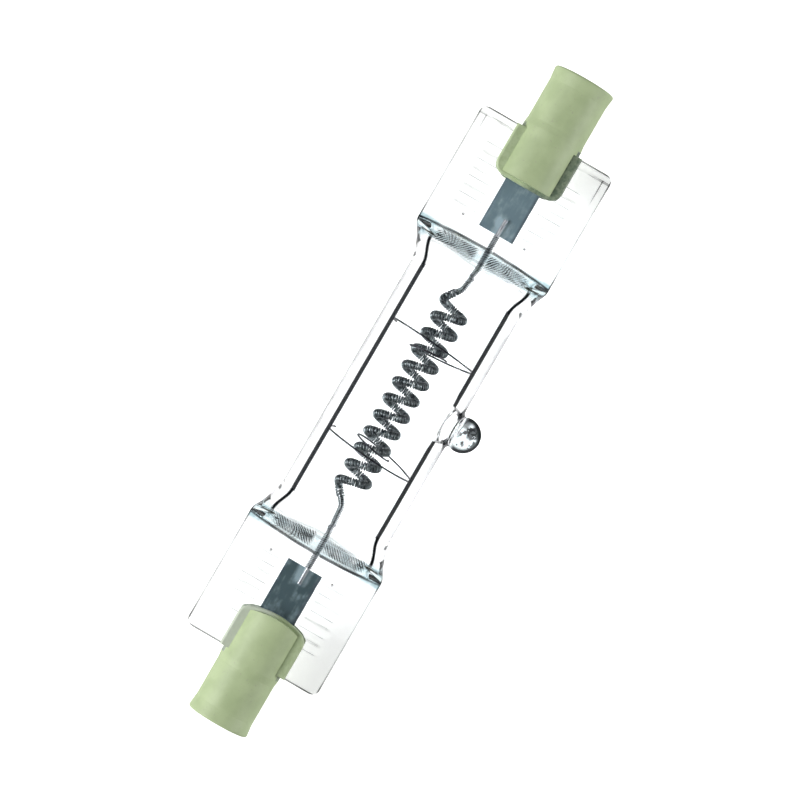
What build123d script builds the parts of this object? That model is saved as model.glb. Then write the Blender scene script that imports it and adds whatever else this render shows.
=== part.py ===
from build123d import *
import math
import os

# Linear halogen lamp with a recessed contact at each end. Sizes are in millimetres.
# The lamp is drawn along X, with the middle of the tube at the origin, the pressed seals flat in
# the XY plane and the exhaust tip toward -Y. Each end is drawn toward +X, and the left end is
# mirrored. The finished lamp lies on its tube: it is lifted so that the table is at Z = 0, and
# moved across so that the middle of its box is over the origin.

RIGHT, LEFT = 1, -1
NAMES = {RIGHT: "right", LEFT: "left"}

# Quartz tube, its shoulders and its pressed seals
tube_diameter = 13.4
tube_wall = 1.2
tube_length = 30.4             # the round part, between the shoulders
shoulder_length = 3.55         # from the round tube to the flat of the seal
corner_inset = 0.45            # the seal is full width this far before the flat begins
seal_length = 13.6
seal_width = 16.3
seal_thickness = 2.8
seal_edge_radius = 0.6
seal_corner_radius = 0.9
seal_shift = {RIGHT: 0.25, LEFT: 0.0}    # sideways, pressed slightly off the axis
cavity_end_width = 13.4
cavity_end_height = 0.5
cavity_inset = 0.35            # the cavity stops this far before the flat begins
shoulder_steps = 5             # outlines that each shoulder is drawn through
shoulder_widening = 2.4        # power of the law by which it widens; more is earlier
shoulder_closing = (1.2, 0.8)  # powers of the law by which its walls close
shoulder_sink = 0.2            # the shoulder ends this far inside the faces of the seal
shoulder_side_sink = 0.07      # and this far inside its long edges

# Exhaust tip, melted off on one side of the tube
tip_along = 0.2                # from the middle of the tube
tip_reach = 7.7                # from the axis of the tube to the middle of the bead
tip_radius = 2.0
tip_waist_radius = 1.75
tip_root_radius = 2.4
tip_mouth_radius = 2.05
tip_bore_radius = 1.35
tip_bore_reach = 7.05          # the bore is closed here, measured from the axis
tip_neck_depth = 0.36          # the bore starts to close this far inside the tube's surface

# Jaw marks pressed on both faces of each seal
rib_count = 4
rib_pitch = 2.04
rib_width = 1.02
rib_height = 0.1
rib_inner_edge = 2.6           # from the middle of the seal
rib_length = 3.35
rib_start = {RIGHT: 3.6, LEFT: 3.1}      # middle of the first rib, from the start of the flat
dimple_radius = 0.3
dimple_depth = 0.12
dimple_across = (4.05, -3.6)
dimple_along = 2.15            # from the start of the flat

# Filament: a right-handed coiled coil, drawn as the outside of its fine primary coil
coil_turns = 11
coil_pitch = 2.05
coil_radius = 1.52             # from the axis to the middle of the primary coil
coil_middle = 0.63             # along the tube
primary_diameter = 0.98
tail_rise = 1.2                # the first straight bit, in line with the last turn
tail_bend_radius = 0.7
tail_share = 0.62              # the coil ends this far along the run to the knee of the lead

# Leads from the filament to the foils, each bent at a knee and where it straightens
knee_beyond_coil = {RIGHT: 1.85, LEFT: 2.3}
knee_across = {RIGHT: 0.2, LEFT: -0.2}
knee_up = {RIGHT: 0.42, LEFT: -0.28}
straight_before_seal = {RIGHT: 2.45, LEFT: 3.25}
lead_across = {RIGHT: -0.08, LEFT: -0.42}
lead_bend_radius = 1.2
lead_diameter = 0.5
lead_socket = 0.35             # how far the lead stands in the end of the coil
lead_on_foil = 1.9
overwind_diameter = 0.74
overwind_gap = 0.1             # the winding stops this far before the foil

# Seal foils and outer leads
foil_width = 4.2
foil_thickness = 0.05
foil_length = 10.0
foil_start = 2.0               # from the start of the flat
foil_shift = {RIGHT: 0.15, LEFT: -0.15}
outer_lead_diameter = 0.6
outer_lead_on_foil = 2.0
outer_lead_bend_radius = 1.0
outer_lead_bend_start = 0.3    # from the end of the slot of the cap
outer_lead_bend_length = 1.0   # over which it bends in line with the cap

# Filament supports: an arc on the wall of the tube, over the front of the coil, then an arc that
# winds in behind the coil, then a hook on the coil. Angles are in degrees about X from +Y to +Z
support_wire = 0.2
support_along = {RIGHT: 6.9, LEFT: -6.5}     # middle of the arc on the wall
support_ahead_at_side = {RIGHT: 0.48, LEFT: 0.4}    # it lies further along at the +Y wall
support_ahead_at_front = {RIGHT: 0.2, LEFT: -0.5}   # it lies further along at the front
support_lean = {RIGHT: -0.08, LEFT: 0.2}     # slope of the inner arcs along the tube
support_inner_angle = 180      # turned between the wall and the coil
support_start_angle = -20
support_wall_angle = 200       # turned on the wall
support_hook_angle = 190       # turned on the coil
support_gap = 0.06             # between the wire and what it lies on

# Ceramic end caps
cap_diameter = 7.1             # over the seal
cap_waist_diameter = 6.9       # beyond the seal
cap_taper_length = 0.8         # from the one to the other
cap_flare_diameter = 7.25      # at the outer end
cap_flare_length = 1.6
cap_shift = {RIGHT: 0.1, LEFT: -0.25}    # cemented slightly off the axis
cap_overlap = 5.35             # how far the two tongues reach over the seal
cap_beyond_seal = 7.65
cap_end_radius = 0.25
tongue_corner_radius = 1.0
tongue_arch = {RIGHT: 0.12, LEFT: 0.9}   # how far the middle of the tongue's end bulges
cement_gap = 0.13              # between the seal and the ceramic, on each face
cement_end_gap = 0.6           # between the end of the seal and the bottom of the slot
cement_bead_side = 0.4         # squeezed out beside the tongues
cement_bead_end = 0.4          # squeezed out at the end of the tongues
cement_bead_height = 0.6
cement_bead_radius = 0.3
chamber_diameter = 3.4
chamber_length = 2.4

# Recessed contacts
recess_diameter = 4.2
recess_depth = 1.7
seat_diameter = 3.7            # pocket in the floor of the recess that the contact sits in
contact_clearance = 0.05
contact_thickness = 0.7
contact_dome = 0.15
shank_diameter = 1.6
shank_length = 3.0
lead_in_shank = 1.6

# Worked out from the sizes above
tube_radius = tube_diameter / 2
bore_radius = tube_radius - tube_wall
tube_half = tube_length / 2
flat_start = tube_half + shoulder_length
seal_end = flat_start + seal_length
cap_inner = seal_end - cap_overlap
cap_outer = seal_end + cap_beyond_seal
slot_half = seal_thickness / 2 + cement_gap
slot_end = seal_end + cement_end_gap
recess_floor = cap_outer - recess_depth
contact_back = recess_floor - contact_thickness
widest_across = seal_width / 2 + max(seal_shift.values())
tip_end = tip_reach + tip_radius
foil_inner = flat_start + foil_start
foil_outer = foil_inner + foil_length
lead_height = (foil_thickness + lead_diameter) / 2
outer_lead_height = (foil_thickness + outer_lead_diameter) / 2


def to_end(shape, side):
    """Leaves a right end as drawn and mirrors it for the left end."""
    return shape if side == RIGHT else mirror(shape, about=Plane.YZ)


def across_x(along):
    """A plane across the lamp, its own x along Y and its own y along Z."""
    return Plane(origin=(along, 0, 0), x_dir=(0, 1, 0), z_dir=(1, 0, 0))


def rod_x(radius, start, end, y=0.0):
    """A round rod along X, whose seam is its lowest line."""
    return extrude(across_x(start) * Pos(y) * Rot(Z=-90) * Circle(radius), end - start)


def pressed_shoulder(length, radius, half_width, half_height, shift):
    """Tube pressed flat: round, then ever flatter and wider ovals. It widens early, and the
    walls close fastest at the seal."""
    first, second = shoulder_closing
    sections = [across_x(tube_half) * Circle(radius)]
    for step in range(1, shoulder_steps + 1):
        share = step / shoulder_steps
        width = radius + (half_width - radius) * (1 - (1 - share) ** shoulder_widening)
        height = half_height + (radius - half_height) * (1 - share ** first) ** second
        middle = across_x(tube_half + length * share) * Pos(shift * share, 0)
        sections.append(middle * Ellipse(width, height))
    return loft(sections)


def seal_flat(side):
    """The flat of the seal, with its long edges and its outer corners rounded."""
    start = flat_start - corner_inset
    slab = Pos((start + seal_end) / 2, seal_shift[side], 0) * Box(
        seal_end - start, seal_width, seal_thickness)
    corners = slab.edges().filter_by(Axis.Z).group_by(Axis.X)[-1]
    slab = fillet(corners, seal_corner_radius)
    inner_end = slab.faces().sort_by(Axis.X)[0]
    inner_edges = inner_end.edges()
    rims = [edge for edge in slab.edges().filter_by(GeomType.LINE)
            if abs(edge.tangent_at(0.5).Z) < 0.5 and edge not in inner_edges]
    return fillet(rims, seal_edge_radius)


def jaw_rib():
    """A low round-topped bar along +Y, with its foot sunk a little below Z = 0."""
    half = rib_width / 2
    top = ThreePointArc((-half, 0), (0, rib_height), (half, 0))
    foot = Polyline((half, 0), (half, -rib_height), (-half, -rib_height), (-half, 0))
    return extrude(Plane.XZ * make_face([top, foot]), -rib_length)


def jaw_dent():
    """A small round dent in a face at Z = 0."""
    ball = (dimple_radius ** 2 + dimple_depth ** 2) / (2 * dimple_depth)
    return Pos(0, 0, ball - dimple_depth) * Sphere(ball)


def on_both_faces(shape):
    """A mark on the upper face of the seal and its mirror on the lower one."""
    upper = Pos(0, 0, seal_thickness / 2) * shape
    return [upper, mirror(upper, about=Plane.XY)]


def pressed_seal(side):
    """The flat with its jaw marks: ribs and dents either side of the foil."""
    seal = seal_flat(side)
    for count in range(rib_count):
        along = flat_start + rib_start[side] + count * rib_pitch
        for inner_edge in (rib_inner_edge, -rib_inner_edge - rib_length):
            seal += on_both_faces(Pos(along, inner_edge + seal_shift[side]) * jaw_rib())
    for across in dimple_across:
        place = Pos(flat_start + dimple_along, across + seal_shift[side])
        seal -= on_both_faces(place * jaw_dent())
    return seal


def turned_about_tip(outline):
    """Turns an outline, drawn as (distance from the tip's axis, distance from the tube's axis)."""
    drawing = Plane(origin=(tip_along, 0, 0), x_dir=(1, 0, 0), z_dir=(0, 0, -1))
    tip_axis = Axis((tip_along, 0, 0), (0, -1, 0))
    return revolve(drawing * make_face(outline), tip_axis)


def exhaust_tip():
    """The melted bead on its short neck."""
    root = bore_radius + tube_wall / 2
    waist = tip_reach - math.sqrt(tip_radius ** 2 - tip_waist_radius ** 2)
    flare = ((tip_root_radius + 2 * tip_waist_radius) / 3, (root + waist) / 2)
    return turned_about_tip([
        Polyline((0, tip_end), (0, root), (tip_root_radius, root)),
        ThreePointArc((tip_root_radius, root), flare, (tip_waist_radius, waist)),
        ThreePointArc((tip_waist_radius, waist), (tip_radius, tip_reach), (0, tip_end)),
    ])


def exhaust_bore():
    """The tapered hole that the tube was filled through, closed by the bead."""
    neck = tube_radius - tip_neck_depth
    inside = bore_radius - tube_wall
    return turned_about_tip([
        Polyline((0, tip_bore_reach), (0, inside), (tip_mouth_radius, inside),
                 (tip_mouth_radius, bore_radius), (tip_bore_radius, neck)),
        Spline((tip_bore_radius, neck), (0, tip_bore_reach), tangents=[(0, 1), (-1, 0)]),
    ])


def quartz_envelope(sealed_in):
    """Tube, shoulders, seals and tip in one piece, pressed tight round what is sealed in."""
    glass = rod_x(tube_radius, -tube_half, tube_half) + exhaust_tip()
    hollow = rod_x(bore_radius, -tube_half, tube_half) + exhaust_bore()
    for side in (RIGHT, LEFT):
        glass += to_end(pressed_shoulder(shoulder_length, tube_radius,
                                         seal_width / 2 - shoulder_side_sink,
                                         seal_thickness / 2 - shoulder_sink,
                                         seal_shift[side]), side)
        glass += to_end(pressed_seal(side), side)
        hollow += to_end(pressed_shoulder(shoulder_length - cavity_inset, bore_radius,
                                          cavity_end_width / 2, cavity_end_height / 2,
                                          seal_shift[side]), side)
    return glass - hollow - sealed_in


def coil_turn_end(side):
    """Where the last full turn ends, at +Y, and the direction in which the wire leaves it."""
    along = coil_middle + side * coil_turns * coil_pitch / 2
    leaving = Vector(coil_pitch / (2 * math.pi), 0, coil_radius).normalized() * side
    return Vector(along, coil_radius, 0), leaving


def lead_corners(side):
    """Corners of the wire's way from the coil to the foil: the rise, the end of the coil, the
    knee, the place where it straightens, and its end on the foil."""
    turn_end, leaving = coil_turn_end(side)
    rise = turn_end + leaving * tail_rise
    knee = Vector(turn_end.X + side * knee_beyond_coil[side], knee_across[side], knee_up[side])
    coil_tip = rise + (knee - rise) * tail_share
    straight = Vector(side * (flat_start - straight_before_seal[side]), lead_across[side],
                      lead_height)
    foil_point = Vector(side * (foil_inner + lead_on_foil), lead_across[side], lead_height)
    return turn_end, rise, coil_tip, knee, straight, foil_point


def rod_section(path, radius, hole=0.0):
    """A disc, or a ring if it has a hole, across the start of a path."""
    section = Circle(radius) - Circle(hole) if hole else Circle(radius)
    return Plane(origin=path @ 0, z_dir=path % 0) * section


def bent_rod(edges, radius, hole=0.0):
    """A round rod, or a tube if it has a hole, along straight runs and arcs that join."""
    rod = None
    for edge in edges:
        section = rod_section(edge, radius, hole)
        if edge.geom_type == GeomType.LINE:
            piece = extrude(section, edge.length)
        else:
            centre = edge.arc_center
            turn = Axis(centre, (edge @ 0 - centre).cross(edge % 0))
            piece = revolve(section, turn, math.degrees(edge.length / edge.radius))
        rod = piece if rod is None else rod + piece
    return rod


def filament_coil():
    """The coil with a tail at each end that turns in toward the axis."""
    start = coil_middle - coil_turns * coil_pitch / 2
    turns = across_x(start) * Helix(coil_pitch, coil_turns * coil_pitch, coil_radius)
    coil = sweep(rod_section(turns, primary_diameter / 2), path=turns)
    for side in (RIGHT, LEFT):
        turn_end, rise, coil_tip, *rest = lead_corners(side)
        tail = FilletPolyline(turn_end, rise, coil_tip, radius=tail_bend_radius)
        coil += bent_rod(tail.edges(), primary_diameter / 2)
    return coil


def lead_path(side, socket, end):
    """Runs and arcs of the lead from inside the end of the coil to the given place along the
    lamp."""
    turn_end, rise, coil_tip, knee, straight, foil_point = lead_corners(side)
    inward = (knee - coil_tip).normalized()
    last = Vector(side * end, lead_across[side], lead_height)
    route = FilletPolyline(coil_tip - inward * socket, knee, straight, last,
                           radius=lead_bend_radius)
    return route.edges()


def filament_lead(side):
    """The rod that stands in the end of the coil and lies on the foil."""
    return bent_rod(lead_path(side, lead_socket, foil_inner + lead_on_foil), lead_diameter / 2)


def lead_overwind(side):
    """The fine winding on the lead, drawn as a sleeve."""
    return bent_rod(lead_path(side, 0, foil_inner - overwind_gap), overwind_diameter / 2,
                    lead_diameter / 2)


def seal_foil(side):
    """The thin ribbon in the seal."""
    middle = (foil_inner + foil_outer) / 2
    return to_end(Pos(middle, foil_shift[side], 0) * Box(foil_length, foil_width, foil_thickness),
                  side)


def outer_lead(side):
    """The rod from the foil, out of the seal and into the shank of the contact."""
    bend = slot_end + outer_lead_bend_start
    straight = bend + outer_lead_bend_length
    last = contact_back - shank_length + lead_in_shank
    path = FilletPolyline((foil_outer - outer_lead_on_foil, foil_shift[side], outer_lead_height),
                          (bend, foil_shift[side], outer_lead_height),
                          (straight, cap_shift[side], 0), (last, cap_shift[side], 0),
                          radius=outer_lead_bend_radius)
    return to_end(bent_rod(path.edges(), outer_lead_diameter / 2), side)


def bent_arc(start, heading, inward, radius, angle):
    """An arc of wire that leaves start along heading and bends toward inward, and its heading
    at the end."""
    def reached(turned):
        turn = math.radians(turned)
        return start + (inward * (1 - math.cos(turn)) + heading * math.sin(turn)) * radius

    turn = math.radians(angle)
    arc = ThreePointArc(start, reached(angle / 2), reached(angle))
    return arc, heading * math.cos(turn) + inward * math.sin(turn)


def filament_support(side):
    """Thin wire bent along the wall of the tube, in behind the coil and round the coil."""
    wall_radius = bore_radius - support_wire / 2 - support_gap
    hook_radius = coil_radius + (primary_diameter + support_wire) / 2 + support_gap
    middle = Vector(support_along[side], 0, 0)
    toward_y = Vector(support_ahead_at_side[side], wall_radius, 0)
    toward_z = Vector(support_ahead_at_front[side], 0, wall_radius)

    def on_wall(angle):
        turn = math.radians(angle)
        return middle + toward_y * math.cos(turn) + toward_z * math.sin(turn)

    last_angle = support_start_angle + support_wall_angle
    middle_angle = (support_start_angle + last_angle) / 2
    wall = ThreePointArc(on_wall(support_start_angle), on_wall(middle_angle), on_wall(last_angle))
    heading = (wall % 1).normalized()
    inward = Vector(support_lean[side], 1, 0)
    inward = (inward - heading * inward.dot(heading)).normalized()
    inner_radius = (hook_radius - on_wall(last_angle).Y) / (2 * inward.Y)
    inner, heading = bent_arc(wall @ 1, heading, inward, inner_radius, support_inner_angle)
    hook, heading = bent_arc(inner @ 1, heading, -inward, hook_radius / inward.Y,
                             support_hook_angle)
    return bent_rod([wall, inner, hook], support_wire / 2)


def tongue_outline(side, grow_end=0.0, grow_side=0.0):
    """The cap as it shows from above the seal, with the inner end of its tongues shaped."""
    inner = cap_inner - grow_end
    half = cap_flare_diameter / 2 + grow_side
    corner = inner + tongue_arch[side]
    outline = make_face([
        ThreePointArc((corner, -half), (inner, 0), (corner, half)),
        Polyline((corner, half), (cap_outer, half), (cap_outer, -half), (corner, -half)),
    ])
    inner_corners = outline.vertices().group_by(Axis.X)[0]
    return Pos(0, cap_shift[side]) * fillet(inner_corners, tongue_corner_radius + grow_end)


def end_cap(side):
    """Ceramic cylinder, a little waisted and flared at the outer end, with two tongues over the
    seal."""
    flare_start = cap_outer - cap_flare_length
    radius, waist_radius = cap_diameter / 2, cap_waist_diameter / 2
    half_section = Polyline((cap_inner, 0), (cap_inner, radius), (slot_end, radius),
                            (slot_end + cap_taper_length, waist_radius),
                            (flare_start, waist_radius), (cap_outer, cap_flare_diameter / 2),
                            (cap_outer, 0), close=True)
    body = revolve(make_face(half_section), Axis.X)
    body = fillet(body.edges().group_by(Axis.X)[-1], cap_end_radius)
    body = Pos(0, cap_shift[side]) * body
    body &= extrude(tongue_outline(side), cap_diameter, both=True)
    slot_length = slot_end - cap_inner + cap_overlap
    body -= Pos(slot_end - slot_length / 2) * Box(slot_length, 2 * cap_diameter, 2 * slot_half)
    for bore, start, end in ((chamber_diameter, seal_end, slot_end + chamber_length),
                             (shank_diameter + 2 * contact_clearance, slot_end, cap_outer),
                             (seat_diameter, contact_back, recess_floor),
                             (recess_diameter, recess_floor, cap_outer)):
        body -= rod_x(bore / 2, start, end, cap_shift[side])
    return to_end(body, side)


def cap_cement(side, neighbours):
    """Cement that fills the slot of the cap round the seal and squeezes out as a bead."""
    reach = slot_end - cap_inner
    fill = Pos(slot_end - reach / 2, cap_shift[side]) * Box(reach, cap_diameter, 2 * slot_half)
    fill &= rod_x(cap_diameter / 2, cap_inner, slot_end, cap_shift[side])
    fill &= extrude(tongue_outline(side), cap_diameter, both=True)
    outline = tongue_outline(side, cement_bead_end, cement_bead_side)
    outline &= Pos(seal_end - reach) * Rectangle(2 * reach, 4 * cap_diameter)
    bead = extrude(outline, seal_thickness / 2 + cement_bead_height, both=True)
    rims = bead.edges().filter_by(lambda e: abs(e.center().Z) > slot_half).filter_by(
        lambda e: e.center().X < seal_end - cement_bead_radius)
    bead = fillet(rims, cement_bead_radius)
    return to_end(fill + bead, side) - neighbours


def contact(side):
    """Domed metal button with a hollow shank that is crimped on the lead."""
    radius = seat_diameter / 2 - contact_clearance
    rim = recess_floor - contact_dome
    ball = (radius ** 2 + contact_dome ** 2) / (2 * contact_dome)
    dome_middle = (recess_floor - ball + math.sqrt(ball ** 2 - (radius / 2) ** 2), radius / 2)
    face = make_face([
        Polyline((recess_floor, 0), (contact_back, 0), (contact_back, radius), (rim, radius)),
        ThreePointArc((rim, radius), dome_middle, (recess_floor, 0)),
    ])
    shank_end = contact_back - shank_length
    button = revolve(face, Axis.X) + rod_x(shank_diameter / 2, shank_end, contact_back)
    button -= rod_x(outer_lead_diameter / 2, shank_end, shank_end + lead_in_shank)
    return to_end(Pos(0, cap_shift[side]) * button, side)


def build_lamp():
    """Every piece of the lamp, by name, in the drawing position."""
    lamp = {}
    for side in (RIGHT, LEFT):
        name = NAMES[side]
        lamp[name + "_filament_lead"] = filament_lead(side)
        lamp[name + "_lead_overwind"] = lead_overwind(side)
        lamp[name + "_seal_foil"] = seal_foil(side)
        lamp[name + "_outer_lead"] = outer_lead(side)
    glass = quartz_envelope(list(lamp.values()))
    lamp["quartz_envelope"] = glass
    leads = [lamp["right_filament_lead"], lamp["left_filament_lead"]]
    lamp["filament_coil"] = filament_coil() - leads
    for side in (RIGHT, LEFT):
        name = NAMES[side]
        cap = end_cap(side)
        lamp[name + "_filament_support"] = filament_support(side)
        lamp[name + "_end_cap"] = cap
        inside = [glass, cap, lamp[name + "_seal_foil"], lamp[name + "_outer_lead"]]
        lamp[name + "_cap_cement"] = cap_cement(side, inside)
        lamp[name + "_contact"] = contact(side)
    return lamp


if __name__ == "__main__":
    os.makedirs("parts", exist_ok=True)
    lying = Pos(0, (tip_end - widest_across) / 2, tube_radius)
    for name, piece in build_lamp().items():
        export_step(lying * piece, f"parts/{name}.step")
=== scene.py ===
import math

import bpy
import numpy as np
from mathutils import Matrix, Vector


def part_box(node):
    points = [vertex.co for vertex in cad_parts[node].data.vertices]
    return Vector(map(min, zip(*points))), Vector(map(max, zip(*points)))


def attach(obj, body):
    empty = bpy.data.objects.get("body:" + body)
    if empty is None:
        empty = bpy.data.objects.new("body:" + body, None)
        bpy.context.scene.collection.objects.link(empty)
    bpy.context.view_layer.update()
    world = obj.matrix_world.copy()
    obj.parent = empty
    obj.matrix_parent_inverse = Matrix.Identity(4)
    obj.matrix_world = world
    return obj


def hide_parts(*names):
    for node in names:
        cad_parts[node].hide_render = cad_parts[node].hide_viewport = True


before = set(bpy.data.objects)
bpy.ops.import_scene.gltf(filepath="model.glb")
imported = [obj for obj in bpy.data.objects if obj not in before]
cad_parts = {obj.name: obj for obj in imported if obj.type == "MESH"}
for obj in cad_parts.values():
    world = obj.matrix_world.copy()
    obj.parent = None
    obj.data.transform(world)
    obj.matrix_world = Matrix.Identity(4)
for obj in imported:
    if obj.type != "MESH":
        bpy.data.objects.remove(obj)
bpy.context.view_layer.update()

# Looks of a linear halogen lamp that lies on its tube. Lengths are in millimetres up to the last
# step of each mesh. The lamp is drawn as in its solids: along X, with the middle of the tube at the
# origin, the seals level and the exhaust tip toward -Y.

MM = 0.001
RIGHT, LEFT = 1, -1
NAMES = {RIGHT: "right", LEFT: "left"}

# Place of the tube's axis in the frame
envelope_low, envelope_high = (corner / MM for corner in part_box("quartz_envelope"))
coil_low, coil_high = (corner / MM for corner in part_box("filament_coil"))
tube_radius = (envelope_high.z - envelope_low.z) / 2
axis_y = (coil_low.y + coil_high.y) / 2
axis_z = envelope_low.z + tube_radius
tip_end = axis_y - envelope_low.y
seal_end = envelope_high.x

# Quartz, as in the solids
tube_wall = 1.2
tube_half = 15.2
shoulder_length = 3.55
flare_start = 13.4
seal_width = 16.3
seal_thickness = 2.8
seal_edge_radius = 0.35
seal_corner_radius = 0.9
seal_shift = {RIGHT: 0.25, LEFT: 0.0}
crease_bow = 0.55
cavity_half_width = 6.7
cavity_half_height = 0.25
cavity_inset = 0.35
rib_count, rib_pitch, rib_width, rib_height = 4, 2.04, 1.02, 0.1
rib_inner_edge, rib_length = 2.6, 3.35
rib_start = {RIGHT: 3.6, LEFT: 3.1}
dimple_radius, dimple_depth = 0.3, 0.12
dimple_across = (4.05, -3.6)
dimple_along = 2.15
tip_along = 0.2
window_half = {"outside": 3.6, "inside": 3.2}
window_turn = 0.6
bead_centre = 7.7
seal_half = seal_width / 2
flat_start = tube_half + shoulder_length
bore_radius = tube_radius - tube_wall

# Filament and leads, as in the solids
coil_turns, coil_pitch, coil_radius, coil_middle = 11, 2.05, 1.52, 0.63
primary_diameter = 0.98
filament_wire = 0.21
primary_pitch = 0.3
tail_rise, tail_bend_radius, tail_share = 1.2, 0.7, 0.62
knee_beyond_coil = {RIGHT: 1.85, LEFT: 2.3}
knee_across = {RIGHT: 0.2, LEFT: -0.2}
knee_up = {RIGHT: 0.42, LEFT: -0.28}
straight_before_seal = {RIGHT: 2.45, LEFT: 3.25}
lead_across = {RIGHT: -0.08, LEFT: -0.42}
lead_height = 0.275
lead_bend_radius = 1.2
lead_diameter = 0.5
overwind_wire = 0.12
overwind_pitch = 0.2
overwind_end = flat_start + 1.9
foil_width = 4.2

# Profile of the exhaust tip, from the wall of the tube out. A row is the radius round the tip, the
# height above the wall, the share of the height that is counted from the tube's axis instead, and
# that height. The bead closes the outside.
neck_outside = [(2.75, 0.0, 0.0, 0.0), (2.45, 0.01, 0.0, 0.0), (2.2, 0.04, 0.0, 0.0),
                (2.02, 0.1, 0.1, 6.8), (1.9, 0.2, 0.4, 6.92), (1.84, 0.3, 0.8, 7.08)]
neck_inside = [(2.8, 0.0, 0.0, 0.0), (2.55, 0.02, 0.0, 0.0), (2.3, 0.07, 0.12, 5.6),
               (2.05, 0.16, 0.4, 5.7), (1.8, 0.3, 0.8, 5.86), (1.56, 0.5, 1.0, 6.12),
               (1.4, 0.0, 1.0, 6.4), (1.25, 0.0, 1.0, 6.65), (1.0, 0.0, 1.0, 6.86),
               (0.65, 0.0, 1.0, 7.0), (0.3, 0.0, 1.0, 7.05)]

# Fineness of the meshes: steps across and up each outline of the quartz, steps of a large turn of
# the filament, of a turn of fine wire, and sides of that wire
outside_steps, inside_steps = (48, 16), (32, 16)
tube_outlines, shoulder_outlines, seal_outlines, hollow_outlines = 51, 41, 106, 33
coil_turn_steps, route_step = 48, 0.1
primary_steps, overwind_steps, overwind_route_step, wire_sides = 14, 12, 0.06, 6
bend_steps = 13

# Painted lines and painted shades on the quartz, for the dark lines that refraction shows: where the
# bore's black line is seen, how it runs out over the flare, the mouth of the tip, the bead, and the
# pitch of the painted hatch
bore_line_out, bore_line_spread = 5.3, 0.8
flare_line_start, flare_line_end, flare_line_half = 14.0, 16.9, 0.27
side_strip_up, side_strip_half = 2.65, 0.7
mouth_half, mouth_taper = 2.12, 0.3
bead_start, bead_full = 6.95, 7.5
hatch_pitch, hatch_slant = 0.34, 0.9

# Light: how much the floor glows for each kind of ray, and the world for diffuse and other rays
floor_glow = {"Is Camera Ray": 0.9, "Is Glossy Ray": 0.35, "Is Transmission Ray": 0.55}
floor_half = 1500.0
world_diffuse, world_other = 0.14, 0.2

# Camera, from the photograph: where the middle of the lamp lies in its 800 pixels
photo_size = 800
photo_middle = (400.5, 401.0)
photo_turn = 30.14
photo_width = 86.7
camera_distance = 400.0


class Signal:
    """A socket that Python's arithmetic works on. Each operation adds one Math node."""

    def __init__(self, finish, socket):
        self.finish = finish
        self.socket = socket

    def math(self, operation, *others):
        return self.finish.node("ShaderNodeMath", {"operation": operation}, self, *others)

    def __add__(self, other):
        return self.math("ADD", other)

    def __sub__(self, other):
        return self.math("SUBTRACT", other)

    def __mul__(self, other):
        return self.math("MULTIPLY", other)

    def __truediv__(self, other):
        return self.math("DIVIDE", other)

    def __pow__(self, other):
        return self.math("POWER", other)

    def __rsub__(self, other):
        return self.finish.node("ShaderNodeMath", {"operation": "SUBTRACT"}, other, self)

    def __abs__(self):
        return self.math("ABSOLUTE")

    __radd__ = __add__
    __rmul__ = __mul__

    def rises(self, low, high):
        """0 below low, 1 above high, smooth between; high may be the lower of the two."""
        return self.finish.node("ShaderNodeMapRange", {"interpolation_type": "SMOOTHSTEP"},
                                self, low, high, 0.0, 1.0)


class Finish:
    """One material and the nodes that make it."""

    def __init__(self, name):
        self.material = bpy.data.materials.new(name)
        self.material.use_nodes = True
        self.tree = self.material.node_tree
        self.tree.nodes.clear()
        self.output = self.tree.nodes.new("ShaderNodeOutputMaterial")

    def node(self, kind, settings, *values, output=0, **named):
        """A node of this type, with its settings set first, then the values or links of its
        sockets in their order, or by name."""
        made = self.tree.nodes.new(kind)
        for key, value in settings.items():
            setattr(made, key, value)
        sockets = [socket for socket in made.inputs if socket.enabled]
        pairs = list(zip(sockets, values))
        for name, value in named.items():
            pairs.append((made.inputs[name.replace("_", " ")], value))
        for socket, value in pairs:
            if isinstance(value, Signal):
                self.tree.links.new(value.socket, socket)
            elif value is not None:
                socket.default_value = value
        outputs = [socket for socket in made.outputs if socket.enabled]
        chosen = made.outputs[output] if isinstance(output, str) else outputs[output]
        return Signal(self, chosen)

    def position(self):
        """The place on the piece, in metres."""
        return self.node("ShaderNodeTexCoord", {}, output="Object")

    def axes(self):
        """The place on the piece along X, Y and Z, as three signals in millimetres."""
        place = self.position()
        return [self.node("ShaderNodeSeparateXYZ", {}, place, output=axis) / MM for axis in "XYZ"]

    def noise(self, size, detail=3.0, roughness=0.5, stretch=(1, 1, 1)):
        """Noise whose lumps are about size millimetres across, or longer where stretch is over 1."""
        scaled = self.node("ShaderNodeVectorMath", {"operation": "MULTIPLY"}, self.position(),
                           tuple(1 / s for s in stretch))
        return self.node("ShaderNodeTexNoise", {}, Vector=scaled, Scale=1 / (size * MM),
                         Detail=detail, Roughness=roughness)

    def blend(self, share, first, second):
        """A colour that goes from the first to the second as share goes from 0 to 1."""
        return self.node("ShaderNodeMix", {"data_type": "RGBA"}, share, first, second)

    def bump(self, height, depth):
        """A normal that is bumped by height, from 0 to 1, for a depth in millimetres."""
        return self.node("ShaderNodeBump", {}, Strength=1.0, Distance=depth * MM, Height=height)

    def surface(self, **sockets):
        """A Principled shader. Names are its sockets with underscores for spaces."""
        return self.node("ShaderNodeBsdfPrincipled", {}, **sockets)

    def show(self, shader):
        self.tree.links.new(shader.socket, self.output.inputs["Surface"])
        return self.material


clear_glass = (0.985, 0.993, 0.996, 1.0)
# Near-black painted shade, mixed into the quartz where dark lines are painted on it
painted_shade_colour = (0.008, 0.01, 0.012, 1.0)


def grey(level):
    return (level, level, level, 1.0)


def band(value, middle, half):
    """1 where value is nearly middle, 0 from half a band away."""
    return abs(value - middle).rises(half, half * 0.4)


def between(value, start, full, fading, end):
    """0 up to start, 1 from full to fading, 0 again from end."""
    return value.rises(start, full) * value.rises(end, fading)


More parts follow.
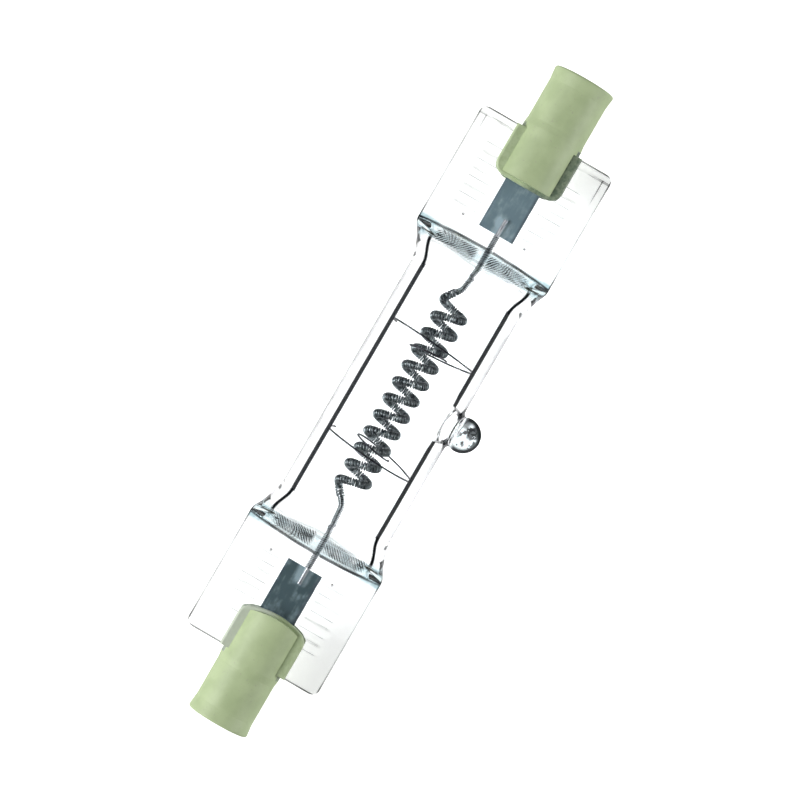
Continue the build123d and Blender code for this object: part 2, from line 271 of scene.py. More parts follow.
def strongest(first, *others):
    """The largest of some signals."""
    for other in others:
        first = first.math("MAXIMUM", other)
    return first


def glass_finish(name, tint, darkness):
    """Clear quartz with painted dark lines. Tint and darkness are functions of the finish and of how
    much the surface is seen at a slant: tint gives the colour of the glass, darkness how much of it
    is covered by a near-black painted shade, which stands for the dark lines that refraction shows.
    Light from the lamps goes through."""
    finish = Finish(name)
    slant = finish.node("ShaderNodeLayerWeight", {}, Blend=0.5, output="Facing")
    body = finish.surface(Base_Color=tint(finish, slant), Roughness=0.0, IOR=1.458,
                          Transmission_Weight=1.0, Specular_Tint=grey(0.15))
    shade = finish.surface(Base_Color=painted_shade_colour, Roughness=1.0, Specular_IOR_Level=0.0)
    lined = finish.node("ShaderNodeMixShader", {}, darkness(finish, slant), body, shade)
    shadow = finish.node("ShaderNodeLightPath", {}, output="Is Shadow Ray")
    passes = finish.node("ShaderNodeBsdfTransparent", {}, (0.96, 0.97, 0.975, 1.0))
    return finish.show(finish.node("ShaderNodeMixShader", {}, shadow, lined, passes))


def upper_side(finish):
    """1 above the axis of the tube, 0 below."""
    return (finish.axes()[2] - axis_z).rises(-0.1, 0.1)


def on_bead(finish):
    """1 on the bead of the exhaust tip, 0 on the tube."""
    return (axis_y - finish.axes()[1]).rises(bead_start, bead_full)


def seal_axes(finish):
    """Distance along the lamp from its middle, place across from the middle of the seal, and a
    signal that is 1 at the right end."""
    along, across = finish.axes()[:2]
    right = along.rises(-1.0, 1.0)
    return abs(along), across - axis_y - right * seal_shift[RIGHT], right


def clear_tint(finish, slant):
    """Clear, a little tinted where seen along the wall and in the thick bead."""
    share = strongest(slant.rises(0.75, 1.0), on_bead(finish))
    return finish.blend(share, clear_glass, (0.8, 0.87, 0.89, 1.0))


def shoulder_tint(finish, slant):
    """Pale blue green where the quartz is thick: over the shoulders and at their corners."""
    along, across, right = seal_axes(finish)
    thick = between(along, tube_half + 1.0, tube_half + 2.4, flat_start - 0.15, flat_start + 0.45)
    corner = between(along, tube_half + 0.4, tube_half + 1.8, flat_start - 0.35, flat_start + 0.65)
    corner = corner * abs(across).rises(tube_radius - 1.5, tube_radius + 0.5)
    cloud = finish.noise(1.1, 3.0, 0.55).rises(0.2, 0.55)
    return finish.blend((thick + corner) * 0.7 * cloud, clear_glass, (0.42, 0.56, 0.6, 1.0))


def tube_painted_shade(finish, slant):
    """Painted shade on the tube: a soft band along both sides of the tube, grey steps at the mouth
    of the tip, and the patchy dark outline and dark spots of the bead, painted where refraction
    shows dark."""
    along, across = finish.axes()[:2]
    out = axis_y - across
    patchy = finish.noise(3.0, 2.0, 0.5).rises(0.35, 0.6)
    # Painted shade: a soft grey band where the outside is seen at a slant
    side_band = slant.rises(0.58, 0.8) * (patchy * 0.16 + 0.26)
    # Painted shade: grey steps beside the mouth of the tip, on the upper side
    steps = band(abs(along - tip_along), mouth_half - (out - bore_line_out) * mouth_taper, 0.2)
    steps = steps * upper_side(finish) * between(
        out, bore_line_out - 0.1, bore_line_out + 0.15, tube_radius - 0.5, tube_radius - 0.1)
    # Painted shade: a patchy dark outline round the bead, and dark spots on it
    outline = slant.rises(0.24, 0.5) * finish.noise(2.2, 1.0, 0.5).rises(0.36, 0.5)
    marks = finish.noise(0.75, 2.0, 0.6).rises(0.53, 0.59)
    bead = on_bead(finish)
    tube_shade = strongest(side_band, steps * 0.6)
    bead_shade = strongest(outline * 0.96, marks * 0.85)
    return tube_shade * (1 - bead) + bead_shade * bead


def seal_edge_shade(along, across, slant, patchy):
    """Painted shade: dark lines along the edges of the seal, darker near its corners, and on the
    flared flanks.
    """
    edge = strongest(abs(across).rises(seal_half - 0.25, seal_half - 0.09),
                     along.rises(seal_end - 0.28, seal_end - 0.1))
    near_corner = strongest(along.rises(seal_end - 3.55, seal_end - 0.85),
                            along.rises(flat_start + 1.75, flat_start + 0.25))
    flank = between(along, tube_half - 0.2, tube_half + 1.2, flat_start - 0.75, flat_start + 0.15)
    flank = flank * abs(across).rises(seal_half - 0.85, seal_half - 0.25)
    return edge * (near_corner * 0.4 + patchy * 0.2 + 0.32) + flank * slant.rises(0.55, 0.9) * 0.2


def right_end_lines(along, across, right, patchy):
    """Painted shade: a second dark line inside the end of the right seal, and one inside each of its
    corners.
    """
    end = band(along, seal_end - 0.85, 0.1) * abs(across).rises(2.0, 4.5)
    corner = band(abs(across), seal_half - 0.9, 0.09)
    corner = corner * between(along, seal_end - 4.85, seal_end - 1.35, seal_end - 0.95,
                              seal_end - 0.65)
    return (end * 0.55 + corner * 0.5) * right * patchy


def crease_shade(along, across, bow, patchy):
    """Painted shade in the crease at the foot of the seal, open beside the lead, and a faint painted
    line behind it.
    """
    crease = band(along + bow * crease_bow, flat_start + 0.14, 0.17) * (patchy * 0.38 + 0.5)
    opening = band(across, -0.62, 0.34)
    behind = band(along + bow * 0.9, flat_start - 1.75, 0.2)
    behind = behind * abs(across).rises(tube_radius - 0.5, tube_radius - 1.1)
    return strongest(crease * (1 - opening * 0.85), behind * 0.25)


def painted_hatch_shade(finish, along, across, bow):
    """Painted shade over the shoulder, on both sides of the lead: fine slanting dark lines on a grey
    ground, for the hatched light that refraction shows there.
    """
    within = (along + bow * 0.7).rises(flat_start - 1.7, flat_start - 1.45)
    within = within * (along + bow * 0.5).rises(flat_start - 0.25, flat_start - 0.45)
    within = within * between(abs(across), 0.5, 1.0, tube_radius - 1.5, tube_radius - 0.8)
    wave = ((across + along * hatch_slant) * (2 * math.pi / hatch_pitch)).math("SINE")
    dense = finish.noise(1.9, 1.0, 0.5).rises(0.42, 0.6)
    return within * (wave.rises(-0.5, 0.5) * (dense * 0.5 + 0.2) + 0.22)


def rib_edge_shade(along, across, right, patchy):
    """Painted shade: faint dark lines along the edges of the ribs, and a dark dot on each dent."""
    first = right * (rib_start[RIGHT] - rib_start[LEFT]) + (rib_start[LEFT] + flat_start)
    turned = (along - first) / rib_pitch + 0.5
    edge = band(abs(turned.math("FRACT") - 0.5) * rib_pitch, rib_width / 2, 0.13)
    rib_end = rib_inner_edge + rib_length
    within = between(turned, 0.0, 0.01, rib_count - 0.01, rib_count)
    within = within * between(abs(across), rib_inner_edge - 0.2, rib_inner_edge + 0.4,
                              rib_end - 0.5, rib_end + 0.2)
    marks = edge * within * (patchy * 0.16 + 0.11)
    for place in dimple_across:
        reach = (along - (flat_start + dimple_along)) ** 2 + (across - place) ** 2
        marks = marks + reach.rises(0.045, 0.01) * 0.5
    return marks


def flare_line(finish, along):
    """The black line that the bore's wall shows, carried on over the flare as painted shade: it is
    drawn on the upper outside, where it is seen from above."""
    middle = along.rises(flare_line_start, flare_line_end) * bore_line_spread + bore_line_out
    line = band(abs(finish.axes()[1] - axis_y), middle, flare_line_half) * upper_side(finish)
    return line * between(along, flare_line_start - 0.2, flare_line_start, flare_line_end - 0.1,
                          flare_line_end + 0.5)


def seal_painted_shade(finish, slant):
    """All painted lines and painted shades of a pressed seal and its shoulder."""
    along, across, right = seal_axes(finish)
    patchy = finish.noise(2.6, 2.0, 0.5).rises(0.35, 0.62)
    bow = (across / seal_half) ** 2
    return strongest(seal_edge_shade(along, across, slant, patchy),
                     right_end_lines(along, across, right, patchy),
                     crease_shade(along, across, bow, patchy),
                     painted_hatch_shade(finish, along, across, bow),
                     rib_edge_shade(along, across, right, patchy),
                     flare_line(finish, along))


def bore_painted_shade(finish, slant):
    """Painted shade for the black line that the wall of the bore shows along each side: black is
    painted where light leaves the bore at a slant, and, in a strip along each side, where it comes
    in so steeply that the wall nearly mirrors it. It ends where the flare line starts, and is open
    at the mouth of the tip."""
    along, across, up = finish.axes()
    # Painted shade: black where the wall is seen at these slants, the second only in a strip along
    # each side
    leaving = slant.rises(0.62, 0.69)
    mirrored = between(slant, 0.222, 0.232, 0.274, 0.284)
    side_strip = band(abs(up - axis_z), side_strip_up, side_strip_half)
    straight = abs(along).rises(flare_line_start + 0.25, flare_line_start + 0.05)
    mouth = abs(along - tip_along).rises(mouth_half + 0.13, mouth_half - 0.07)
    mouth = mouth * (axis_y - across).rises(3.0, 4.0)
    return strongest(leaving, mirrored * side_strip) * straight * (1 - mouth)


def metal_finish(name, dark, light, size, roughness, stretch=(1, 1, 1)):
    """Drawn wire or rolled ribbon: a mottled metal with fine marks."""
    finish = Finish(name)
    mottle = finish.noise(size, 4.0, 0.6, stretch)
    return finish.show(finish.surface(
        Base_Color=finish.blend(mottle.rises(0.3, 0.7), dark, light), Metallic=1.0,
        Roughness=mottle * 0.2 + (roughness - 0.1), Normal=finish.bump(mottle, 0.004)))


def foil_finish():
    """Etched ribbon: blue grey, darker along its edges, with lighter patches at the welds, and
    lighter at the right end as painted light.
    """
    finish = Finish("foil_ribbon")
    mottle = finish.noise(1.5, 3.0, 0.5)
    streaks = finish.noise(0.35, 3.0, 0.5, (6, 1, 1))
    along, across, right = seal_axes(finish)
    weld = along.rises(flat_start + 4.4, flat_start + 3.2) * abs(across + 0.25).rises(1.2, 0.4)
    patch = (mottle * 0.6 + streaks * 0.25 + weld * 0.3).rises(0.38, 0.7)
    # Painted light: the right foil is made lighter than the left, and its patches stronger
    patch = patch * (right * 0.3 + 0.7)
    darkest = finish.blend(right, (0.07, 0.11, 0.125, 1.0), (0.18, 0.26, 0.3, 1.0))
    colour = finish.blend(patch, darkest, (0.44, 0.58, 0.64, 1.0))
    rim = abs(across).rises(foil_width / 2 - 0.35, foil_width / 2)
    colour = finish.blend(rim * 0.7, colour, (0.08, 0.1, 0.12, 1.0))
    return finish.show(finish.surface(
        Base_Color=colour, Metallic=0.6, Roughness=0.42, Normal=finish.bump(streaks, 0.01)))


def ceramic_finish():
    """Unglazed pressed ceramic: pale grey green, faintly speckled, with a fine grain."""
    finish = Finish("steatite")
    cloud = finish.noise(2.2, 3.0, 0.5)
    grain = finish.noise(0.12, 2.0, 0.6)
    speck = finish.noise(0.3, 1.0, 0.5).rises(0.68, 0.76)
    colour = finish.blend(cloud.rises(0.3, 0.7), (0.45, 0.555, 0.305, 1.0), (0.52, 0.63, 0.36, 1.0))
    colour = finish.blend(speck * 0.35, colour, (0.4, 0.42, 0.3, 1.0))
    return finish.show(finish.surface(
        Base_Color=colour, Roughness=grain * 0.2 + 0.42, Normal=finish.bump(grain, 0.012)))


def cement_finish():
    """Fired cement: grey green and lumpy, pale on one side of the left end, painted dark green as
    painted shadow on the other side of the right end, and darkened by painted shade along its foot
    on the seal."""
    finish = Finish("fired_cement")
    lump = finish.noise(0.5, 4.0, 0.6)
    along, across, up = finish.axes()
    right = along.rises(-1.0, 1.0)
    far_side = across.rises(axis_y - 1.0, axis_y + 1.0)
    pale = far_side * (1 - right)
    # Painted shadow: the side of the right end toward -Y is made dark green
    green = (1 - far_side) * right
    colour = finish.blend(lump.rises(0.3, 0.7), (0.46, 0.57, 0.32, 1.0), (0.55, 0.66, 0.41, 1.0))
    colour = finish.blend(pale * 0.8, colour, (0.66, 0.72, 0.62, 1.0))
    painted_shadow_green = finish.blend(lump.rises(0.35, 0.65), (0.1, 0.15, 0.11, 1.0), (0.24, 0.3, 0.21, 1.0))
    colour = finish.blend(green * 0.9, colour, painted_shadow_green)
    # Painted shade along the foot, where the cement meets the seal
    foot = abs(up - axis_z).rises(seal_thickness / 2 + 0.14, seal_thickness / 2 + 0.04)
    colour = finish.blend(foot * 0.55, colour, (0.07, 0.11, 0.08, 1.0))
    return finish.show(finish.surface(
        Base_Color=colour, Roughness=0.45, Normal=finish.bump(lump, 0.06)))


def floor_finish():
    """A pale floor that looks white to the camera and in metal and glass, and keeps a shadow."""
    finish = Finish("pale_floor")
    seen = strongest(*(finish.node("ShaderNodeLightPath", {}, output=way) * glow
                       for way, glow in floor_glow.items()))
    paper = finish.node("ShaderNodeBsdfDiffuse", {}, grey(0.82))
    glow = finish.node("ShaderNodeEmission", {}, grey(1.0), seen)
    return finish.show(finish.node("ShaderNodeAddShader", {}, paper, glow))


def mesh_piece(name, points, faces, materials, face_material=None):
    """A piece from points in the lamp's drawing position."""
    mesh = bpy.data.meshes.new(name)
    placed = (np.asarray(points, float) + (0, axis_y, axis_z)) * MM
    mesh.from_pydata(placed.tolist(), [], faces)
    for material in materials:
        mesh.materials.append(material)
    if face_material is not None:
        mesh.polygons.foreach_set("material_index", face_material)
    mesh.polygons.foreach_set("use_smooth", [True] * len(mesh.polygons))
    mesh.validate()
    mesh.update()
    piece = bpy.data.objects.new(name, mesh)
    bpy.context.scene.collection.objects.link(piece)
    return piece


def square_loop(across_steps, up_steps):
    """Points once round the edge of a square from -1 to 1, closer together near its corners on
    the long sides, as (across, up)."""
    even = np.linspace(-1, 1, across_steps + 1)[:-1]
    closer = 0.4
    across = (1 - closer) * even + closer * np.sin(even * math.pi / 2)
    up = np.linspace(-1, 1, up_steps + 1)[:-1]
    lower = [(a, -1) for a in across]
    right = [(1, u) for u in up]
    upper = [(-a, 1) for a in across]
    left = [(-1, -u) for u in up]
    return np.array(lower + right + upper + left, float)


def ring(loop, along, half_width, half_height, squareness=0.0, edge_radius=0.0, shift=0.0):
    """One outline across the lamp: an oval that turns into a box with rounded edges."""
    turn = np.arctan2(loop[:, 1], loop[:, 0])
    oval = np.stack([half_width * np.cos(turn), half_height * np.sin(turn)], axis=1)
    box = loop * (half_width, half_height)
    radius = min(edge_radius, half_width, half_height)
    core = np.clip(box, (-half_width + radius, -half_height + radius),
                   (half_width - radius, half_height - radius))
    out = box - core
    length = np.maximum(np.linalg.norm(out, axis=1, keepdims=True), 1e-9)
    box = core + out / length * radius
    flat = oval * (1 - squareness) + box * squareness
    points = np.empty((len(loop), 3))
    points[:, 0] = along
    points[:, 1] = flat[:, 0] + shift
    points[:, 2] = flat[:, 1]
    return points


def smooth_step(value, low, high):
    share = np.clip((value - low) / (high - low), 0, 1)
    return share * share * (3 - 2 * share)


def shoulder_size(share, radius, half_width, half_height):
    """Half width and half height of the pressed shoulder, as in the solids."""
    width = radius + (half_width - radius) * (1 - (1 - share ** 1.4) ** 2.6)
    height = half_height + (radius - half_height) * (1 - share ** 1.2) ** 0.8
    return width, height


def seal_marks(points, side):
    """Raises the ribs and sinks the dents on both faces of a seal."""
    along = points[:, 0] - flat_start
    across = points[:, 1] - seal_shift[side]
    face = np.sign(points[:, 2]) * (np.abs(points[:, 2]) > seal_thickness / 2 - 0.01)
    in_width = smooth_step(np.abs(across), rib_inner_edge - 0.1, rib_inner_edge + 0.15)
    in_width *= 1 - smooth_step(np.abs(across), rib_inner_edge + rib_length - 0.15,
                                rib_inner_edge + rib_length + 0.1)
    for count in range(rib_count):
        middle = rib_start[side] + count * rib_pitch
        bump = np.clip(1 - ((along - middle) / (rib_width / 2)) ** 2, 0, 1)
        points[:, 2] += face * rib_height * bump * in_width
    for place in dimple_across:
        reach = np.hypot(along - dimple_along, across - place) / dimple_radius
        points[:, 2] -= face * dimple_depth * np.clip(1 - reach ** 2, 0, 1)
    return points


def outer_rings(side, loop):
    """Outlines of the outside of one end, from the tube out to the end of the seal. The tube
    starts to flare a little before the shoulder."""
    rings = []
    for along in np.linspace(flare_start, flat_start, shoulder_outlines)[1:]:
        share = min(max(along - tube_half, 0.0) / shoulder_length, 1.0)
        height = shoulder_size(share, tube_radius, seal_half, seal_thickness / 2)[1]
        flare = (along - flare_start) / (flat_start - flare_start)
        width = tube_radius + (seal_half - tube_radius) * (1 - (1 - flare ** 1.9) ** 1.8)
        points = ring(loop, along, width, height, smooth_step(share, 0.5, 1.0),
                      seal_edge_radius, seal_shift[side] * share)
        bow = crease_bow * smooth_step(share, 0.4, 1.0)
        points[:, 0] -= bow * (points[:, 1] / seal_half) ** 2
        rings.append(points)
    length = seal_end - flat_start
    for step in np.linspace(0, 1, seal_outlines)[1:]:
        along = flat_start + (length - seal_edge_radius) * step
        near_end = max(along - (seal_end - seal_corner_radius), 0.0)
        inset = seal_corner_radius - math.sqrt(seal_corner_radius ** 2 - near_end ** 2)
        points = ring(loop, along, seal_half - inset, seal_thickness / 2, 1.0,
                      seal_edge_radius, seal_shift[side])
        bow = crease_bow * (1 - smooth_step(along, flat_start, flat_start + 2.0))
        points[:, 0] -= bow * (points[:, 1] / seal_half) ** 2
        rings.append(seal_marks(points, side))
    for turn in np.radians((20, 40, 60, 80, 90)):
        near_end = seal_corner_radius - seal_edge_radius * (1 - math.sin(turn))
        inset = seal_corner_radius - math.sqrt(max(seal_corner_radius ** 2 - near_end ** 2, 0.0))
        sink = seal_edge_radius * (1 - math.cos(turn))
        rings.append(ring(loop, seal_end - seal_edge_radius * (1 - math.sin(turn)),
                          seal_half - max(inset, sink), seal_thickness / 2 - sink, 1.0,
                          seal_edge_radius, seal_shift[side]))
    return rings


def inner_rings(side, loop):
    """Outlines of the hollow of one end, from the tube to its flat end."""
    rings = []
    length = shoulder_length - cavity_inset
    for share in 1 - (1 - np.linspace(0, 1, hollow_outlines)[1:]) ** 1.5:
        width, height = shoulder_size(share, bore_radius, cavity_half_width, cavity_half_height)
        rings.append(ring(loop, tube_half + length * share, width, height, 0.0, 0.0,
                          seal_shift[side] * share))
    return rings


def whole_length(end_rings, loop, radius, round_half):
    """All outlines from the left end to the right end."""
    middle = [ring(loop, along, radius, radius)
              for along in np.linspace(-round_half, round_half, tube_outlines)]
    left = [points * (-1, 1, 1) for points in end_rings(LEFT, loop)]
    return left[::-1] + middle + end_rings(RIGHT, loop)


def spout(rings, loop, radius, window_along, profile):
    """Opens a window in the wall toward -Y and closes it with a turned profile, whose rows are
    like those of the neck."""
    rows, columns = len(rings), len(loop)
    points = np.concatenate(rings)
    along = np.array([outline[0, 0] for outline in rings])
    turn = np.arctan2(loop[:, 1], -loop[:, 0])
    inside_rows = [i for i in range(rows) if abs(along[i] - tip_along) < window_along]
    first, last = inside_rows[0] - 1, inside_rows[-1] + 1
    columns_in = sorted((j for j in range(columns) if abs(turn[j]) < window_turn),
                        key=lambda j: turn[j])
    edge = [first * columns + j for j in columns_in]
    edge += [i * columns + columns_in[-1] for i in range(first + 1, last)]
    edge += [last * columns + j for j in reversed(columns_in)]
    edge += [i * columns + columns_in[0] for i in range(last - 1, first, -1)]
    gone = {(i, j) for i in range(first, last) for j in columns_in[1:]}
    rim = points[edge]
    places = np.arctan2(rim[:, 2], rim[:, 0] - tip_along)
    starts = np.hypot(rim[:, 2], rim[:, 0] - tip_along)
    added = []
    first_radius = profile[0][0]
    steps = [(share, profile[0]) for share in (0.25, 0.5, 0.75)] + [(1.0, row) for row in profile]
    for share, (ring_radius, lift, free, height) in steps:
        reach = starts * (1 - share) + (ring_radius if share == 1.0 else first_radius) * share
        across, up = reach * np.cos(places), reach * np.sin(places)
        wall = np.sqrt(radius ** 2 - up ** 2) + lift
        out = wall * (1 - free) + height * free
        added.append(np.stack([tip_along + across, -out, up], axis=1))
    return points, added, edge, gone, columns


def skin(rings, loop, radius, window_along, profile):
    """Points, side faces and end faces of one closed skin with its spout, all facing out."""
    points, added, edge, gone, columns = spout(rings, loop, radius, window_along, profile)
    faces = []
    for i in range(len(rings) - 1):
        for j in range(columns):
            k = (j + 1) % columns
            if (i, j) not in gone:
                faces.append((i * columns + j, i * columns + k, (i + 1) * columns + k,
                              (i + 1) * columns + j))
    count = len(points)
    previous = edge
    for layer in added:
        current = list(range(count, count + len(edge)))
        count += len(edge)
        for a in range(len(edge)):
            b = (a + 1) % len(edge)
            faces.append((previous[b], previous[a], current[a], current[b]))
        previous = current
    apex = added[-1].mean(axis=0)
    apex[1] = added[-1][:, 1].min()
    for a in range(len(edge)):
        faces.append((previous[(a + 1) % len(edge)], previous[a], count))
    points = np.concatenate([points, *added, apex[None]])
    last = (len(rings) - 1) * columns
    ends = [tuple(range(columns - 1, -1, -1)), tuple(range(last, last + columns))]
    return points, faces, ends


materials = {
    "tube": glass_finish("quartz_outside", clear_tint, tube_painted_shade),
    "seal": glass_finish("quartz_seal", shoulder_tint, seal_painted_shade),
    "bore": glass_finish("quartz_bore", clear_tint, bore_painted_shade),
}


def quartz_envelope():
    """Outer skin and cavity of the quartz, with the exhaust tip."""
    outer_loop, inner_loop = square_loop(*outside_steps), square_loop(*inside_steps)
    bead_radius = tip_end - bead_centre
    bead = []
    for turn in np.radians(range(-12, 90, 10)):
        bead.append((bead_radius * math.cos(turn), 0.0, 1.0,
                     bead_centre + bead_radius * math.sin(turn)))
    outer = skin(whole_length(outer_rings, outer_loop, tube_radius, flare_start), outer_loop,
                 tube_radius, window_half["outside"], neck_outside + bead)
    inner = skin(whole_length(inner_rings, inner_loop, bore_radius, tube_half), inner_loop,
                 bore_radius, window_half["inside"], neck_inside)
    offset = len(outer[0])
    points = np.concatenate([outer[0], inner[0]])
    outer_faces = outer[1] + outer[2]
    inner_faces = [tuple(index + offset for index in reversed(face)) for face in inner[1] + inner[2]]
    faces = outer_faces + inner_faces
    centres = [points[list(face), 0].mean() for face in outer_faces]
    which = [1 if abs(x) > flare_start else 0 for x in centres] + [2] * len(inner_faces)
    piece = mesh_piece("quartz_glass", points, faces,
                       [materials["tube"], materials["seal"], materials["bore"]], which)
    flat = set(range(len(outer[1]), len(outer_faces)))
    flat |= set(range(len(outer_faces) + len(inner[1]), len(faces)))
    for index in flat:
        piece.data.polygons[index].use_smooth = False
    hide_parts("quartz_envelope")
    return piece


def rounded_route(corners, radii, step):
    """Points along straight runs joined by arcs, evenly spaced."""
    corners = [np.array(corner, float) for corner in corners]
    route = [corners[0]]
    for before, corner, after, radius in zip(corners, corners[1:], corners[2:], radii):
        towards, leaving = corner - before, after - corner
        towards /= np.linalg.norm(towards)
        leaving /= np.linalg.norm(leaving)
        turned = math.acos(np.clip(towards @ leaving, -1, 1))
        reach = radius * math.tan(turned / 2)
        start = corner - towards * reach
        normal = leaving - towards * (towards @ leaving)
        normal /= np.linalg.norm(normal)
        for share in np.linspace(0, 1, bend_steps):
            angle = turned * share
            route.append(start + towards * radius * math.sin(angle)
                         + normal * radius * (1 - math.cos(angle)))
    route.append(corners[-1])
    return even_route(np.array(route), step)


def even_route(route, step):
    """The same route with evenly spaced points."""
    runs = np.linalg.norm(np.diff(route, axis=0), axis=1)
    keep = np.concatenate([[True], runs > 1e-6])
    route = route[keep]
    place = np.concatenate([[0], np.cumsum(np.linalg.norm(np.diff(route, axis=0), axis=1))])
    count = max(int(round(place[-1] / step)), 2)
    even = np.linspace(0, place[-1], count + 1)
    return np.stack([np.interp(even, place, route[:, axis]) for axis in range(3)], axis=1)


def carried_frames(route):
    """Two normals along a route, with no twist."""
    tangents = np.gradient(route, axis=0)
    tangents /= np.linalg.norm(tangents, axis=1, keepdims=True)
    normal = np.cross(tangents[0], (0.3, 0.5, 0.8))
    normals = []
    for tangent in tangents:
        normal = normal - tangent * (normal @ tangent)
        normal /= np.linalg.norm(normal)
        normals.append(normal)
    normals = np.array(normals)
    return normals, np.cross(tangents, normals)


def wound(route, radius, pitch, per_turn):
    """A helix round a route."""
    place = np.concatenate([[0], np.cumsum(np.linalg.norm(np.diff(route, axis=0), axis=1))])
    first, second = carried_frames(route)
    count = int(place[-1] / pitch * per_turn)
    along = np.linspace(0, place[-1], count)

    def at(values):
        return np.stack([np.interp(along, place, values[:, axis]) for axis in range(3)], axis=1)
    turn = (along / pitch * 2 * math.pi)[:, None]
    return at(route) + radius * (np.cos(turn) * at(first) + np.sin(turn) * at(second))


def wire_mesh(route, radius, sides):
    """Points and faces of a round wire along a route, closed at its ends."""
    first, second = carried_frames(route)
    angles = np.linspace(0, 2 * math.pi, sides, endpoint=False)
    around = (np.cos(angles)[None, :, None] * first[:, None, :]
              + np.sin(angles)[None, :, None] * second[:, None, :]) * radius
    points = (route[:, None, :] + around).reshape(-1, 3)
    faces = []
    for i in range(len(route) - 1):
        for j in range(sides):
            k = (j + 1) % sides
            faces.append((i * sides + j, i * sides + k, (i + 1) * sides + k, (i + 1) * sides + j))
    faces.append(tuple(range(sides - 1, -1, -1)))
    last = (len(route) - 1) * sides
    faces.append(tuple(range(last, last + sides)))
    return points, faces


def coil_turn_end(side):
    """Where the last large turn of the filament ends, and its direction there."""
    along = coil_middle + side * coil_turns * coil_pitch / 2
    leaving = np.array([coil_pitch / (2 * math.pi), 0, coil_radius])
    return np.array([along, coil_radius, 0]), leaving / np.linalg.norm(leaving) * side


def lead_corners(side):
    """The wire's way from the coil to the foil, as in the solids."""
    turn_end, leaving = coil_turn_end(side)
    rise = turn_end + leaving * tail_rise
    knee = np.array([turn_end[0] + side * knee_beyond_coil[side], knee_across[side], knee_up[side]])
    coil_tip = rise + (knee - rise) * tail_share
    straight = np.array([side * (flat_start - straight_before_seal[side]), lead_across[side],
                         lead_height])
    last = np.array([side * overwind_end, lead_across[side], lead_height])
    return turn_end, rise, coil_tip, knee, straight, last


def filament():
    """The coiled coil: a fine primary coil that follows the large turns and both tails."""
    turns = np.linspace(0, coil_turns, coil_turns * coil_turn_steps + 1)
    start = coil_middle - coil_turns * coil_pitch / 2
    helix = np.stack([start + turns * coil_pitch, coil_radius * np.cos(turns * 2 * math.pi),
                      coil_radius * np.sin(turns * 2 * math.pi)], axis=1)
    tails = {side: rounded_route(lead_corners(side)[:3], [tail_bend_radius], route_step)
             for side in (RIGHT, LEFT)}
    route = np.concatenate([tails[LEFT][::-1], helix[1:-1], tails[RIGHT]])
    route = even_route(route, route_step)
    coil = wound(route, (primary_diameter - filament_wire) / 2, primary_pitch, primary_steps)
    points, faces = wire_mesh(coil, filament_wire / 2, wire_sides)
    piece = mesh_piece("coiled_filament", points, faces, [materials["tungsten"]])
    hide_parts("filament_coil")
    return piece


def overwind(side):
    """The fine winding on one lead."""
    corners = lead_corners(side)[2:]
    route = rounded_route(corners, [lead_bend_radius] * 2, overwind_route_step)
    winding = wound(route, (lead_diameter + overwind_wire) / 2, overwind_pitch, overwind_steps)
    points, faces = wire_mesh(winding, overwind_wire / 2, wire_sides)
    name = NAMES[side] + "_lead_overwind"
    piece = mesh_piece(NAMES[side] + "_winding", points, faces, [materials["tungsten"]])
    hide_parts(name)
    return piece


def dress_node(name, material):
    """Gives a node of the frame its finish."""
    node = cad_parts[name]
    node.data.materials.clear()
    node.data.materials.append(material)


def lamp_light(name, place, target, size, power):
    """A soft square lamp. Its place and size are in millimetres."""
    data = bpy.data.lights.new(name, "AREA")
    data.shape = "SQUARE"
    data.size = size * MM
    data.energy = power
    light = bpy.data.objects.new(name, data)
    light.location = Vector(place) * MM
    aim = Vector(target) * MM - light.location
    light.rotation_euler = aim.to_track_quat("-Z", "Y").to_euler()
    bpy.context.scene.collection.objects.link(light)


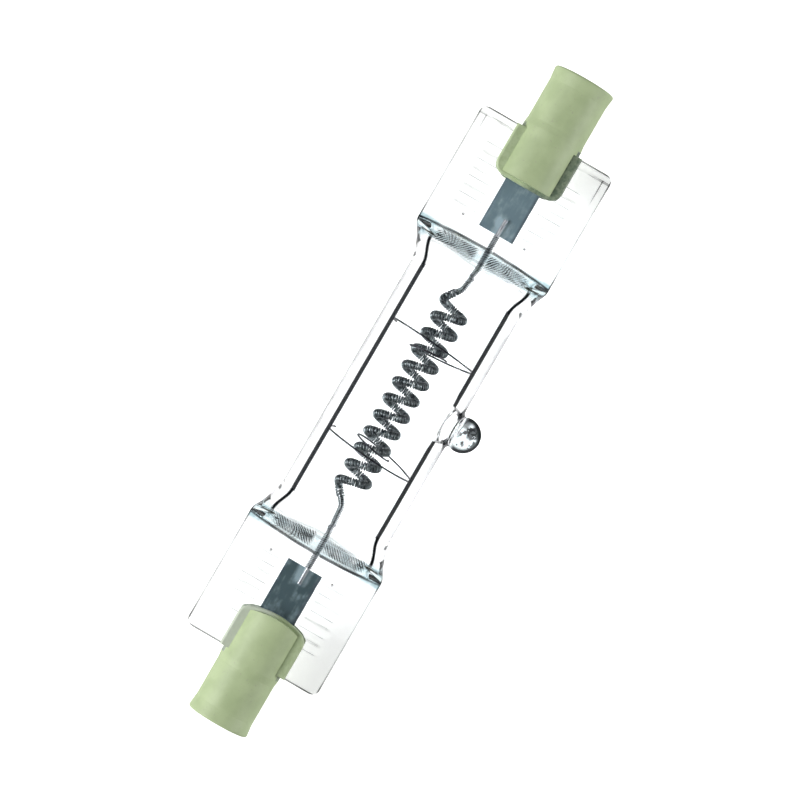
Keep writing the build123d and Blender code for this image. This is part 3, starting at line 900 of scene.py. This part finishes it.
def studio():
    """Floor, world and lamps."""
    half = floor_half * MM
    mesh = bpy.data.meshes.new("floor")
    mesh.from_pydata([(-half, -half, 0), (half, -half, 0), (half, half, 0), (-half, half, 0)], [],
                     [(0, 1, 2, 3)])
    mesh.materials.append(floor_finish())
    floor = bpy.data.objects.new("floor", mesh)
    bpy.context.scene.collection.objects.link(floor)

    world = bpy.data.worlds.new("studio")
    bpy.context.scene.world = world
    world.use_nodes = True
    background = world.node_tree.nodes["Background"]
    ways = world.node_tree.nodes.new("ShaderNodeLightPath")
    strength = world.node_tree.nodes.new("ShaderNodeMapRange")
    strength.inputs["To Min"].default_value = world_other
    strength.inputs["To Max"].default_value = world_diffuse
    world.node_tree.links.new(ways.outputs["Is Diffuse Ray"], strength.inputs["Value"])
    world.node_tree.links.new(strength.outputs["Result"], background.inputs["Strength"])
    background.inputs["Color"].default_value = (1.0, 1.0, 1.0, 1.0)
    lamp_light("key", (-160, 420, 300), (0, 0, 5), 240, 2.7)
    lamp_light("fill", (120, -520, 150), (0, 0, 5), 220, 1.7)
    bpy.context.scene.view_settings.view_transform = "Standard"


def camera():
    """Looks straight down at the lamp, turned as in the photograph."""
    turn = math.radians(photo_turn)
    up = Vector((math.cos(turn), math.sin(turn), 0))
    right = Vector((math.sin(turn), -math.cos(turn), 0))
    pixel = photo_width / photo_size
    aside = (photo_middle[0] - photo_size / 2) * pixel
    below = (photo_middle[1] - photo_size / 2) * pixel
    centre = Vector((0, axis_y, axis_z)) - right * aside + up * below
    data = bpy.data.cameras.new("camera")
    data.sensor_width = 36.0
    data.lens = data.sensor_width * camera_distance / photo_width
    data.clip_start, data.clip_end = 0.01, 10.0
    view = bpy.data.objects.new("camera", data)
    back = Vector((0, 0, 1))
    view.matrix_world = Matrix.Translation((centre + back * camera_distance) * MM) @ Matrix(
        (right, up, back)).transposed().to_4x4()
    bpy.context.scene.collection.objects.link(view)
    bpy.context.scene.camera = view


camera()
materials["tungsten"] = metal_finish("tungsten", (0.025, 0.034, 0.038, 1.0),
                                     (0.25, 0.28, 0.29, 1.0), 0.5, 0.36)
materials["support"] = metal_finish("support_wire", (0.02, 0.02, 0.024, 1.0),
                                    (0.07, 0.07, 0.08, 1.0), 0.6, 0.5, (3, 1, 1))
materials["lead"] = metal_finish("drawn_lead", (0.16, 0.17, 0.19, 1.0), (0.42, 0.44, 0.46, 1.0),
                                 0.6, 0.35, (3, 1, 1))
materials["contact"] = metal_finish("dull_nickel", (0.45, 0.44, 0.4, 1.0), (0.66, 0.65, 0.6, 1.0),
                                    0.8, 0.35)
materials["foil"] = foil_finish()
materials["ceramic"] = ceramic_finish()
materials["cement"] = cement_finish()
pieces = [quartz_envelope(), filament()]
for side in (RIGHT, LEFT):
    pieces.append(overwind(side))
    for part, material in (("filament_lead", "lead"), ("filament_support", "support"),
                           ("seal_foil", "foil"), ("outer_lead", "lead"),
                           ("end_cap", "ceramic"), ("cap_cement", "cement"),
                           ("contact", "contact")):
        dress_node(NAMES[side] + "_" + part, materials[material])
for piece in pieces:
    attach(piece, "root")
studio()
